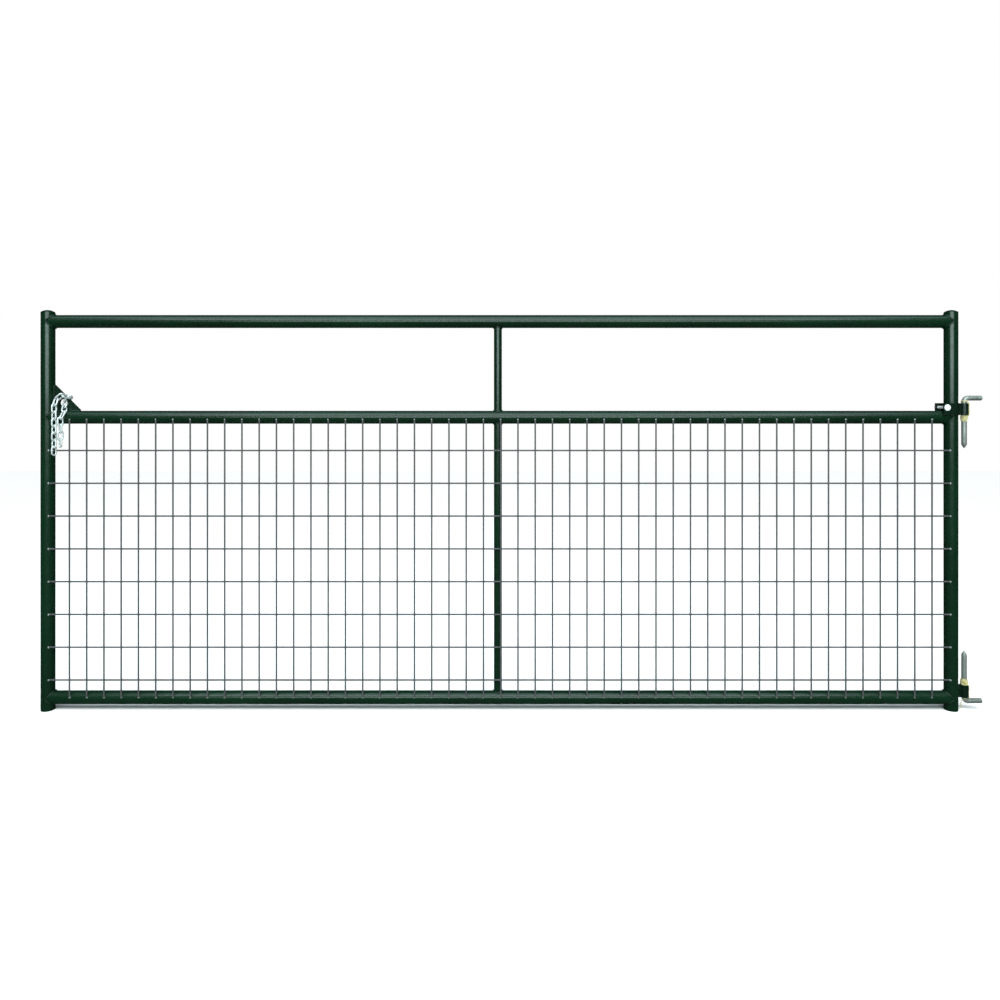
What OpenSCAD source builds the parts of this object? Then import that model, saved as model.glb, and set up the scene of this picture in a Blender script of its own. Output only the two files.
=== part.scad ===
// Wire-filled livestock panel gate on two bolt-hook hinges, with a latch chain.
// The gate hangs in the XZ plane, its swing axis is vertical, and +Z is up.

/* [Frame] */
// Distance between the centre lines of the two posts
post_spacing = 2877; // [1200:1:4800]
// Height of the post tubes, without their caps
post_h = 1265.5; // [1000:0.5:1600]
// Outside diameter of the frame tube
tube_od = 41.3; // [34:0.1:60]
// Wall of the frame tube
tube_wall = 1.65; // [1.2:0.05:3]
// Height of the dome on top of each post cap
cap_dome_h = 7; // [3:0.5:15]
// Depth of the part of a post cap that goes down into its tube
cap_plug_h = 12; // [5:1:30]
// Thickness of the pressed post caps
cap_t = 2; // [1:0.1:4]
// Distance from the top of the post tubes down to the top rail's centre line
top_rail_drop = 29.5; // [22:0.5:80]
// Distance from the top rail's centre line down to the middle rail's
upper_bay_h = 305; // [180:1:420]
// Height of the bottom rail's centre line
bottom_rail_z = 39; // [31:1:120]
// Outside diameter of the two centre braces
brace_od = 25.4; // [19:0.1:31]
// Wall of the centre braces
brace_wall = 1.65; // [1.2:0.05:3]
// Distance of the centre braces from the middle of the gate, towards the latch post
brace_shift = 5; // [-60:0.5:60]
// Gap left between two coped tubes, filled by the weld
weld_gap = 0.1; // [0.05:0.05:0.5]

/* [Wire filling] */
// Diameter of the filling wire
wire_d = 4.9; // [2.5:0.1:6]
// Number of vertical wires
v_wire_count = 51; // [11:2:81]
// Distance from the latch post's centre line to the nearest vertical wire
v_wire_latch_gap = 79; // [40:0.5:120]
// Distance from the hinge post's centre line to the nearest vertical wire
v_wire_hinge_gap = 71; // [40:0.5:120]
// Distance that a vertical wire's end stops short of the rail's centre line
v_wire_lap = 7; // [4:0.5:15]
// Distance that a horizontal wire's end stops short of the post's centre line
h_wire_lap = 12; // [9:0.5:14]
// Depth that the vertical wires' centre lines lie inside the front of the tubes
v_wire_set = 1.7; // [1:0.1:4]
// Gap between wires that cross
wire_gap = 0.05; // [0.01:0.01:0.3]
// Number of horizontal wires
h_wire_count = 8; // [3:1:14]
// Distance from the middle rail's centre line down to the top horizontal wire
h_wire_top_gap = 105; // [50:1:200]
// Distance from the bottom rail's centre line up to the lowest horizontal wire
h_wire_bottom_gap = 60; // [40:1:200]

/* [Chain gusset] */
// Length of the gusset's two square legs
gusset_leg = 83; // [70:1:140]
// Height of the blunt noses at the ends of the sloping edge
gusset_nose = 3; // [1:0.5:8]
// Thickness of the gusset plate
gusset_t = 5; // [3:0.5:6]
// Depth that the middle of the gusset plate lies inside the front of the tubes
gusset_set = 20.65; // [5:0.05:24]
// Diameter of the chain hole
gusset_hole_d = 25.4; // [24:0.1:30]
// Width of the web between the chain hole and the sloping edge
gusset_web = 8; // [6:0.1:10]
// Distance of the chain hole towards the rail, along the sloping edge
gusset_hole_shift = 4.5; // [0:0.5:10]

/* [Hinges] */
// Diameter of the hinge pins and of their threaded legs
pin_d = 15.9; // [12:0.1:20]
// Radial clearance between a hinge pin and its eye
pin_clear = 0.1; // [0.02:0.01:0.1]
// Distance from the hinge post's centre line to the swing axis
pin_offset = 42; // [38:0.5:60]
// Centre-line radius of the bend in a hinge bolt
bolt_bend_r = 12.5; // [10.5:0.5:20]
// Distance from the swing axis to the far end of a threaded leg
bolt_leg_reach = 55; // [40:1:200]
// Distance from the leg's centre line to the tip of the pin
bolt_pin_len = 159; // [100:1:220]
// Length of the pointed tip of a pin
pin_point_len = 12; // [4:1:20]
// Thickness of the hinge straps
strap_t = 4.8; // [3:0.1:6]
// Width of the hinge straps
strap_w = 38; // [25:1:60]
// Clearance between the clamped strap and the hinge post
strap_clear = 0.15; // [0.05:0.05:0.5]
// Slit between the two leaves of a strap, from the post to the eye
strap_slit = 1; // [0.5:0.1:2]
// Distance that the clamp ears reach past the hinge post
ear_reach = 16; // [14:0.5:40]
// Height of the upper strap's middle above the middle rail's centre line
upper_strap_rise = 26; // [20:1:60]
// Height of the lower strap's middle above the ground
lower_strap_z = 60; // [45:1:120]
// Distance from the upper strap's edge up to its hinge bolt's leg
upper_leg_standoff = 16; // [15:0.5:40]
// Distance from the lower strap's edge down to its hinge bolt's leg
lower_leg_standoff = 13; // [13:0.5:40]
// Length of the chamfer at the end of a threaded leg
leg_chamfer = 1.5; // [0.5:0.5:3]

/* [Clamp bolt] */
// Diameter of the clamp bolt
clamp_bolt_d = 9.5; // [6:0.1:12]
// Diameter of the clamp bolt's round head
clamp_head_d = 20; // [14:0.5:26]
// Height of the clamp bolt's round head
clamp_head_h = 5; // [3:0.1:8]
// Side of the square neck under the clamp bolt's head
clamp_neck = 9.6; // [6:0.1:12]
// Width of the nut across its flats
nut_af = 14.3; // [10:0.1:19]
// Thickness of the nut
nut_t = 8.3; // [5:0.1:11]
// Length of bolt that sticks out past the nut
bolt_past_nut = 3.5; // [1:0.5:12]
// Clearance round the clamp bolt in the strap's ears
bolt_clear = 0.3; // [0.1:0.1:1]
// Clearance between the clamp bolt and the post, and the bolt and the rail
bolt_gap = 0.8; // [0.3:0.1:3]
// Height of the clamp bolt above the middle of the strap
clamp_bolt_rise = 5; // [0:0.5:8]

/* [Pin bands] */
// Gap between a band and the pin that it is wound round
band_fit = 0.05; // [0.01:0.01:0.2]
// Wall of the soft band wound round each hinge pin
band_t = 1.5; // [0.8:0.1:3]
// Height of the soft band wound round each hinge pin
band_h = 20; // [10:1:40]
// Gap between a band and the strap beside it
band_gap = 0.3; // [0.2:0.1:1]

/* [Latch chain] */
// Diameter of the chain's wire
link_wire_d = 4.9; // [3:0.1:5.5]
// Inside length of a link
link_inside_len = 22.6; // [18:0.1:28]
// Inside width of a link
link_inside_w = 9.9; // [8:0.1:14]
// Play between two links that hang in each other
link_play = 0.5; // [0.4:0.1:1]
// Room inside the fixing link on each side of the gusset's web
web_room = 7.3; // [7:0.1:12]

/* [Hidden] */
$fn = 64;
overrun = 1;

tube_r = tube_od / 2;
pin_r = pin_d / 2;

// The swing axis is the Z axis, so every X place counts back from it.
hinge_x = -pin_offset;
latch_x = hinge_x - post_spacing;
brace_x = (hinge_x + latch_x) / 2 - brace_shift;

top_rail_z = post_h - top_rail_drop;
middle_rail_z = top_rail_z - upper_bay_h;

// The vertical wires lie in front and the horizontal wires behind them.
v_wire_y = -(tube_r - v_wire_set);
h_wire_y = v_wire_y + wire_d + wire_gap;
v_wire_first_x = latch_x + v_wire_latch_gap;
v_wire_pitch = (hinge_x - v_wire_hinge_gap - v_wire_first_x) / (v_wire_count - 1);
h_wire_top_z = middle_rail_z - h_wire_top_gap;
h_wire_pitch = (h_wire_top_z - bottom_rail_z - h_wire_bottom_gap) / (h_wire_count - 1);

// The braces stand right behind the horizontal wires.
brace_y = h_wire_y + wire_d / 2 + wire_gap + brace_od / 2;

// Gusset: its square corner, and its sloping edge on the line x + z = gusset_sum.
gusset_x = latch_x + tube_r + weld_gap;
gusset_y = -(tube_r - gusset_set);
gusset_z = middle_rail_z + tube_r + weld_gap;
gusset_sum = gusset_leg + gusset_nose;
gusset_hole_diag = (gusset_sum - (gusset_hole_d / 2 + gusset_web) * sqrt(2)) / 2;
gusset_hole_x = gusset_x + gusset_hole_diag + gusset_hole_shift * cos(45);
gusset_hole_z = gusset_z + gusset_hole_diag - gusset_hole_shift * sin(45);

// Hinge straps and clamp bolt
eye_r = pin_r + pin_clear;
eye_outer_r = eye_r + strap_t;
leaf_y = strap_slit / 2 + strap_t;
clamp_r = tube_r + strap_clear;
clamp_outer_r = clamp_r + strap_t;
upper_strap_z = middle_rail_z + upper_strap_rise;
clamp_bolt_x = -(tube_r + clamp_bolt_d / 2 + bolt_gap);
clamp_bolt_z = max(upper_strap_z + clamp_bolt_rise,
                   middle_rail_z + tube_r + clamp_bolt_d / 2 + bolt_gap);
clamp_bolt_len = 2 * clamp_outer_r + nut_t + bolt_past_nut;
neck_play = 0.15;
thread_play = 0.05;

upper_leg_z = upper_strap_z + strap_w / 2 + upper_leg_standoff;
lower_leg_z = lower_strap_z - strap_w / 2 - lower_leg_standoff;
point_tip_r = 2;

// Chain: half lengths of a link's centre line, and the distance between links.
link_half_len = (link_inside_len + link_wire_d) / 2;
fixing_half_len = (gusset_web + 2 * web_room + link_wire_d) / 2;
link_half_w = (link_inside_w + link_wire_d) / 2;
link_step = link_wire_d + link_play;
// Turn of the fixing link about its own length, which lets both tails fall clear
fixing_twist = 35;

// Headings of the slanted links at the top of each tail, as [azimuth, elevation]:
// azimuth 0 is +X and 90 is -Y. The links below them hang plumb.
left_lead = [[120, 15], [180, -40], [100, -65]];
right_lead = [[65, -50], [70, -45], [140, -65]];
plumb = [90, -90];
left_straight = 7;
right_straight = 4;
left_turns = concat(left_lead, [for (i = [1 : left_straight]) plumb]);
right_turns = concat(right_lead, [for (i = [1 : right_straight]) plumb]);
left_count = len(left_turns);
right_count = len(right_turns);

// The fixing link stands square to the sloping edge, round the middle of the web.
outward = [cos(45), 0, sin(45)];
along_edge = [cos(45), 0, -sin(45)];
fixing_centre = [gusset_hole_x, gusset_y, gusset_hole_z]
    + outward * (gusset_hole_d + gusset_web) / 2;
fixing_side = [0, cos(fixing_twist), 0] + along_edge * sin(fixing_twist);

function unit(v) = v / norm(v);
function heading(turn) =
    [cos(turn[1]) * cos(turn[0]), -cos(turn[1]) * sin(turn[0]), sin(turn[1])];

// A link's pose is [centre, heading, side, half length, joint]: its width lies along
// its side, and its joint is halfway between its own bow and the bow it hangs in. A
// link is a quarter turn from the one above and folds about that one's crown, or about
// its own crown where it is folded over.
function hung_link(above, way, folded_over) =
    let (pull = folded_over ? above[1] : way,
         across = cross(pull, above[2]),
         bow = above[0] + above[3] * above[1],
         own_bow = bow - link_step * pull)
    [own_bow + link_half_len * way, way, unit(across - way * (across * way)),
     link_half_len, (bow + own_bow) / 2];

function left_pose(k) =
    k == 0 ? [fixing_centre, outward, fixing_side, fixing_half_len]
    : hung_link(left_pose(k - 1), heading(left_turns[k - 1]), k == 1);

function right_pose(k) =
    k == 0 ? [fixing_centre, -outward, fixing_side, fixing_half_len]
    : hung_link(right_pose(k - 1), heading(right_turns[k - 1]), false);

// Tube along Z, from z0 to z1
module tube_z(x, y, z0, z1, od, wall) {
    translate([x, y, z0])
    difference() {
        cylinder(h = z1 - z0, d = od);
        translate([0, 0, -overrun])
            cylinder(h = z1 - z0 + 2 * overrun, d = od - 2 * wall);
    }
}

// Solid bars along X and along Z, used as wires and as cutters
module bar_x(x0, x1, y, z, r) {
    translate([x0, y, z])
        rotate([0, 90, 0])
            cylinder(h = x1 - x0, r = r);
}

module bar_z(x, y, z0, z1, r) {
    translate([x, y, z0])
        cylinder(h = z1 - z0, r = r);
}

// The space that the two posts take, with the weld gap round them
module post_space() {
    for (x = [latch_x, hinge_x])
        bar_z(x, 0, -overrun, post_h + overrun, tube_r + weld_gap);
}

// The space that a rail takes, with the weld gap round it
module rail_space(z) {
    bar_x(latch_x, hinge_x, 0, z, tube_r + weld_gap);
}

module post(x) {
    tube_z(x, 0, 0, post_h, tube_od, tube_wall);
}

// Round tube between the posts, its ends coped to fit them
module rail(z) {
    difference() {
        bar_x(latch_x, hinge_x, 0, z, tube_r);
        bar_x(latch_x - overrun, hinge_x + overrun, 0, z, tube_r - tube_wall);
        post_space();
    }
}

module brace(z_low, z_high) {
    difference() {
        tube_z(brace_x, brace_y, z_low, z_high, brace_od, brace_wall);
        rail_space(z_low);
        rail_space(z_high);
    }
}

// Pressed cap: a shallow dome on the tube's end and a hollow plug inside it
module post_cap(x) {
    dome_r = (tube_r * tube_r + cap_dome_h * cap_dome_h) / (2 * cap_dome_h);
    plug_r = tube_r - tube_wall - weld_gap;
    translate([x, 0, post_h])
    difference() {
        union() {
            intersection() {
                translate([0, 0, cap_dome_h - dome_r])
                    sphere(r = dome_r);
                cylinder(h = cap_dome_h + overrun, r = tube_r);
            }
            translate([0, 0, -cap_plug_h])
                cylinder(h = cap_plug_h + cap_t / 2, r = plug_r);
        }
        translate([0, 0, -cap_plug_h - overrun])
            cylinder(h = cap_plug_h + overrun, r = plug_r - cap_t);
    }
}

module latch_post() {
    color("#0e3a20") post(latch_x);
}

module hinge_post() {
    color("#0e3a20") post(hinge_x);
}

module latch_post_cap() {
    color("#0e3a20") post_cap(latch_x);
}

module hinge_post_cap() {
    color("#0e3a20") post_cap(hinge_x);
}

module top_rail() {
    color("#0e3a20") rail(top_rail_z);
}

module middle_rail() {
    color("#0e3a20") rail(middle_rail_z);
}

module bottom_rail() {
    color("#0e3a20") rail(bottom_rail_z);
}

module upper_brace() {
    color("#0e3a20") brace(middle_rail_z, top_rail_z);
}

module lower_brace() {
    color("#0e3a20") brace(bottom_rail_z, middle_rail_z);
}

// Triangular plate in the corner of the latch post and the middle rail
module chain_gusset() {
    color("#0e3a20")
    difference() {
        translate([gusset_x, gusset_y + gusset_t / 2, gusset_z])
        rotate([90, 0, 0])
        linear_extrude(gusset_t)
            polygon([[0, 0], [gusset_leg, 0], [gusset_leg, gusset_nose],
                     [gusset_nose, gusset_leg], [0, gusset_leg]]);
        translate([gusset_hole_x, gusset_y, gusset_hole_z])
        rotate([90, 0, 0])
            cylinder(h = gusset_t + 2 * overrun, d = gusset_hole_d, center = true);
    }
}

// Wires that fill the lower bay, their ends coped to the tubes they are welded to
module vertical_wires() {
    color("#12301f")
    difference() {
        for (i = [0 : v_wire_count - 1])
            bar_z(v_wire_first_x + i * v_wire_pitch, v_wire_y,
                  bottom_rail_z + v_wire_lap, middle_rail_z - v_wire_lap, wire_d / 2);
        rail_space(bottom_rail_z);
        rail_space(middle_rail_z);
    }
}

module horizontal_wires() {
    color("#12301f")
    difference() {
        for (i = [0 : h_wire_count - 1])
            bar_x(latch_x + h_wire_lap, hinge_x - h_wire_lap, h_wire_y,
                  h_wire_top_z - i * h_wire_pitch, wire_d / 2);
        post_space();
    }
}

// Outline of an eye with two flat leaves that run back to the post
module eye_outline() {
    difference() {
        union() {
            circle(r = eye_outer_r);
            translate([-pin_offset, -leaf_y])
                square([pin_offset, 2 * leaf_y]);
        }
        circle(r = eye_r);
        translate([-pin_offset - overrun, -strap_slit / 2])
            square([pin_offset + overrun, strap_slit]);
    }
}

// Bent strap: eye, leaves, a ring round the post, and two ears past it
module upper_hinge_strap() {
    ear_end = tube_r + ear_reach;
    color("#0b2c19")
    difference() {
        translate([0, 0, upper_strap_z - strap_w / 2])
        linear_extrude(strap_w)
        difference() {
            union() {
                eye_outline();
                translate([hinge_x, 0])
                    circle(r = clamp_outer_r);
                translate([hinge_x - ear_end, -clamp_outer_r])
                    square([ear_end, 2 * clamp_outer_r]);
            }
            translate([hinge_x, 0])
                circle(r = clamp_r);
            translate([hinge_x - ear_end - overrun, -clamp_r])
                square([ear_end + overrun, 2 * clamp_r]);
            translate([hinge_x, -strap_slit / 2])
                square([pin_offset, strap_slit]);
            circle(r = eye_r);
        }
        translate([hinge_x + clamp_bolt_x, 0, clamp_bolt_z]) {
            neck_hole = clamp_neck + 2 * neck_play;
            translate([-neck_hole / 2, -clamp_outer_r - overrun, -neck_hole / 2])
                cube([neck_hole, strap_t + 2 * overrun, neck_hole]);
            rotate([-90, 0, 0])
                cylinder(h = clamp_outer_r + overrun, r = clamp_bolt_d / 2 + bolt_clear);
        }
    }
}

// Eye whose two leaves are welded to the hinge post
module lower_hinge_eye() {
    color("#0b2c19")
    translate([0, 0, lower_strap_z - strap_w / 2])
    difference() {
        linear_extrude(strap_w)
            eye_outline();
        translate([hinge_x, 0, -overrun])
            cylinder(h = strap_w + 2 * overrun, r = tube_r + weld_gap);
    }
}

// Carriage bolt along +Y: round head, square neck in the front ear, round shank
module clamp_bolt() {
    head_r = clamp_head_d / 2;
    dome_r = (head_r * head_r + clamp_head_h * clamp_head_h) / (2 * clamp_head_h);
    color("#c9cdd0")
    translate([hinge_x + clamp_bolt_x, -clamp_outer_r, clamp_bolt_z]) {
        rotate([90, 0, 0])
        intersection() {
            translate([0, 0, clamp_head_h - dome_r])
                sphere(r = dome_r);
            cylinder(h = clamp_head_h + overrun, r = head_r);
        }
        translate([-clamp_neck / 2, 0, -clamp_neck / 2])
            cube([clamp_neck, strap_t - neck_play, clamp_neck]);
        rotate([-90, 0, 0])
            cylinder(h = clamp_bolt_len, d = clamp_bolt_d);
    }
}

module clamp_nut() {
    color("#b4b8bb")
    translate([hinge_x + clamp_bolt_x, clamp_outer_r + thread_play, clamp_bolt_z])
    rotate([-90, 0, 0])
    difference() {
        cylinder(h = nut_t, d = nut_af / cos(30), $fn = 6);
        translate([0, 0, -overrun])
            cylinder(h = nut_t + 2 * overrun, r = clamp_bolt_d / 2 + thread_play);
    }
}

// Bent bolt: a leg along +X at z = 0, a bend, and a pin that points up the Z axis
module hinge_bolt() {
    leg_end = bolt_leg_reach - leg_chamfer;
    pin_end = bolt_pin_len - pin_point_len;
    bar_x(bolt_bend_r, leg_end, 0, 0, pin_r);
    translate([leg_end, 0, 0])
    rotate([0, 90, 0])
        cylinder(h = leg_chamfer, r1 = pin_r, r2 = pin_r - leg_chamfer);
    translate([bolt_bend_r, 0, bolt_bend_r])
    rotate([90, 0, 0])
    rotate([0, 0, 180])
    rotate_extrude(angle = 90)
    translate([bolt_bend_r, 0])
        circle(r = pin_r);
    bar_z(0, 0, bolt_bend_r, pin_end, pin_r);
    translate([0, 0, pin_end])
        cylinder(h = pin_point_len, r1 = pin_r, r2 = point_tip_r);
}

module upper_hinge_bolt() {
    color("#8d9290")
    translate([0, 0, upper_leg_z])
    mirror([0, 0, 1])
        hinge_bolt();
}

module lower_hinge_bolt() {
    color("#8d9290")
    translate([0, 0, lower_leg_z])
        hinge_bolt();
}

// Soft band wound round a hinge pin, from z up
module pin_band(z) {
    color("#c8be6e")
    translate([0, 0, z])
    difference() {
        cylinder(h = band_h, r = pin_r + band_fit + band_t);
        translate([0, 0, -overrun])
            cylinder(h = band_h + 2 * overrun, r = pin_r + band_fit);
    }
}

module upper_pin_band() {
    pin_band(upper_strap_z - strap_w / 2 - band_gap - band_h);
}

module lower_pin_band() {
    pin_band(lower_strap_z + strap_w / 2 + band_gap);
}

// One welded chain link, its length along X and its width along Y
module link(half_len) {
    straight = half_len - link_half_w;
    color("#cfd6d3")
    for (turn = [0, 180])
        rotate([0, 0, turn]) {
            bar_x(-straight, straight, link_half_w, 0, link_wire_d / 2);
            translate([straight, 0, 0])
            rotate([0, 0, -90])
            rotate_extrude(angle = 180)
            translate([link_half_w, 0])
                circle(d = link_wire_d);
        }
}

// A link at a pose: its length along the heading and its width along the side
module posed_link(pose) {
    way = pose[1];
    side = pose[2];
    flat = cross(way, side);
    translate(pose[0])
    multmatrix([[way[0], side[0], flat[0], 0],
                [way[1], side[1], flat[1], 0],
                [way[2], side[2], flat[2], 0],
                [0, 0, 0, 1]])
        link(pose[3]);
}

// The link that closes round the gusset's web, halfway between hole and edge
module fixing_link() {
    posed_link(left_pose(0));
}

module left_link(k) {
    posed_link(left_pose(k));
}

module right_link(k) {
    posed_link(right_pose(k));
}

FRAME_NODES = ["latch_post", "hinge_post", "latch_post_cap", "hinge_post_cap",
               "top_rail", "middle_rail", "bottom_rail", "upper_brace", "lower_brace",
               "chain_gusset", "vertical_wires", "horizontal_wires"];
HINGE_NODES = ["upper_hinge_strap", "clamp_bolt", "clamp_nut", "lower_hinge_eye",
               "upper_hinge_bolt", "lower_hinge_bolt", "upper_pin_band", "lower_pin_band"];
LEFT_NODES = [for (k = [1 : left_count]) str("left_link_", k)];
RIGHT_NODES = [for (k = [1 : right_count]) str("right_link_", k)];

latch_post();
hinge_post();
latch_post_cap();
hinge_post_cap();
top_rail();
middle_rail();
bottom_rail();
upper_brace();
lower_brace();
chain_gusset();
vertical_wires();
horizontal_wires();
upper_hinge_strap();
clamp_bolt();
clamp_nut();
lower_hinge_eye();
upper_hinge_bolt();
lower_hinge_bolt();
upper_pin_band();
lower_pin_band();
fixing_link();
for (k = [1 : left_count])
    left_link(k);
for (k = [1 : right_count])
    right_link(k);
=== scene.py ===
import bpy
import bmesh
import math
import numpy as np
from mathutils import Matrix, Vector


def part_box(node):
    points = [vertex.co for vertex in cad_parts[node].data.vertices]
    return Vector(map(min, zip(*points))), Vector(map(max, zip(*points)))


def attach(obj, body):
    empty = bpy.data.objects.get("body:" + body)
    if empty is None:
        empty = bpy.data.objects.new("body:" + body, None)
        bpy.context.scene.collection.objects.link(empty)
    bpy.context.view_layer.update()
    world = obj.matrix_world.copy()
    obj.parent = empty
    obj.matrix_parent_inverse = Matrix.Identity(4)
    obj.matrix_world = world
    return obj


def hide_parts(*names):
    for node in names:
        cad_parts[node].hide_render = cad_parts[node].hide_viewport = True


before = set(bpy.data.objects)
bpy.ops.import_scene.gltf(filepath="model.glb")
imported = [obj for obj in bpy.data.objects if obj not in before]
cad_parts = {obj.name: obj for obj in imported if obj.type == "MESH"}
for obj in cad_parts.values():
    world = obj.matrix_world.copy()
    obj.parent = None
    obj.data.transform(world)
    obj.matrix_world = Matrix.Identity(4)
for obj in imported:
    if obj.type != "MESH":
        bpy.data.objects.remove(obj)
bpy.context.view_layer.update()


def finishPiece(name, shell, material, body, smooth=True):
    # turns a bmesh into an object that moves with one body of the gate
    bmesh.ops.recalc_face_normals(shell, faces=shell.faces)
    mesh = bpy.data.meshes.new(name)
    shell.to_mesh(mesh)
    shell.free()
    for face in mesh.polygons:
        face.use_smooth = smooth
    mesh.materials.append(material)
    piece = bpy.data.objects.new(name, mesh)
    bpy.context.scene.collection.objects.link(piece)
    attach(piece, body)
    return piece


def sweepTube(shell, path, radius, sides, lean, closed=False):
    # rings round a path; radius is a number, or a function of (ring, turn)
    # lean is any direction that the path never runs along
    count = len(path)
    rings = []
    for i, point in enumerate(path):
        before = path[i - 1] if closed or i else point
        after = path[(i + 1) % count] if closed or i < count - 1 else point
        way = (after - before).normalized()
        side = way.cross(lean).normalized()
        rise = side.cross(way)
        ring = []
        for k in range(sides):
            turn = 2 * math.pi * k / sides
            reach = radius(i, turn) if callable(radius) else radius
            ring.append(shell.verts.new(point + (side * math.cos(turn) + rise * math.sin(turn)) * reach))
        rings.append(ring)
    for i in range(count if closed else count - 1):
        ringA, ringB = rings[i], rings[(i + 1) % count]
        for k in range(sides):
            n = (k + 1) % sides
            shell.faces.new((ringA[k], ringA[n], ringB[n], ringB[k]))
    if not closed:
        shell.faces.new(rings[0])
        shell.faces.new(rings[-1])


def smoothPath(knots, steps):
    # Catmull-Rom curve through the knots
    spread = [knots[0]] + list(knots) + [knots[-1]]
    path = []
    for a, b, c, d in zip(spread, spread[1:], spread[2:], spread[3:]):
        for i in range(steps):
            t = i / steps
            path.append(0.5 * (2 * b + (c - a) * t + (2 * a - 5 * b + 4 * c - d) * t ** 2
                               + (3 * b - a - 3 * c + d) * t ** 3))
    path.append(knots[-1])
    return path


def evenPath(path, step):
    # the same path with points a fixed distance apart
    places = [0.0]
    for a, b in zip(path, path[1:]):
        places.append(places[-1] + (b - a).length)
    count = max(2, round(places[-1] / step) + 1)
    even = []
    k = 0
    for i in range(count):
        place = places[-1] * i / (count - 1)
        while k < len(path) - 2 and places[k + 1] < place:
            k += 1
        share = (place - places[k]) / max(places[k + 1] - places[k], 1e-9)
        even.append(path[k].lerp(path[k + 1], min(max(share, 0.0), 1.0)))
    return even


def addNugget(shell, centre, across, up, out, size, rows=3, sides=10):
    # a flattened weld nugget: out is the way it stands proud, size is (across, up, out)
    rings = []
    for row in range(rows):
        lift = math.sin(math.pi / 2 * row / rows)
        width = math.cos(math.pi / 2 * row / rows)
        ring = []
        for k in range(sides):
            turn = 2 * math.pi * k / sides
            ring.append(shell.verts.new(
                centre + across * math.cos(turn) * size[0] * width
                + up * math.sin(turn) * size[1] * width + out * size[2] * lift))
        rings.append(ring)
    top = shell.verts.new(centre + out * size[2])
    for ringA, ringB in zip(rings, rings[1:]):
        for k in range(sides):
            n = (k + 1) % sides
            shell.faces.new((ringA[k], ringA[n], ringB[n], ringB[k]))
    for k in range(sides):
        shell.faces.new((rings[-1][k], rings[-1][(k + 1) % sides], top))


def wobble(*places):
    # a repeatable number from -1 to 1 that looks random
    return math.sin(sum(p * k for p, k in zip(places, (127.1, 311.7, 74.7))) * 43.7)


def newGroup(name, inputs, outputs):
    group = bpy.data.node_groups.new(name, "ShaderNodeTree")
    for label, kind, value in inputs:
        socket = group.interface.new_socket(label, in_out="INPUT", socket_type=kind)
        socket.default_value = value
    for label, kind in outputs:
        group.interface.new_socket(label, in_out="OUTPUT", socket_type=kind)
    return group, group.nodes.new("NodeGroupInput"), group.nodes.new("NodeGroupOutput")


def addNode(tree, kind, settings=None, links=None):
    # makes a node, sets its properties and wires its inputs: name -> value or socket
    node = tree.nodes.new(kind)
    for key, value in (settings or {}).items():
        setattr(node, key, value)
    for key, value in (links or {}).items():
        if isinstance(value, bpy.types.NodeSocket):
            tree.links.new(value, node.inputs[key])
        else:
            node.inputs[key].default_value = value
    return node


def noiseMask(tree, place, scale, low, high, detail=4.0):
    # noise cut to a mask between two levels
    noise = addNode(tree, "ShaderNodeTexNoise", None,
                    {"Vector": place, "Scale": scale, "Detail": detail})
    return addNode(tree, "ShaderNodeMapRange", {"clamp": True},
                   {"Value": noise.outputs["Fac"], "From Min": low, "From Max": high}).outputs[0]


def mixColours(tree, amount, colourA, colourB):
    mix = addNode(tree, "ShaderNodeMix", {"data_type": "RGBA"}, {"Factor": amount})
    for socket, value in ((mix.inputs[6], colourA), (mix.inputs[7], colourB)):
        if isinstance(value, bpy.types.NodeSocket):
            tree.links.new(value, socket)
        else:
            socket.default_value = value
    return mix.outputs[2]


def mathNode(tree, operation, a, b):
    # one arithmetic node
    return addNode(tree, "ShaderNodeMath", {"operation": operation, "use_clamp": False},
                   {0: a, 1: b}).outputs[0]


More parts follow.
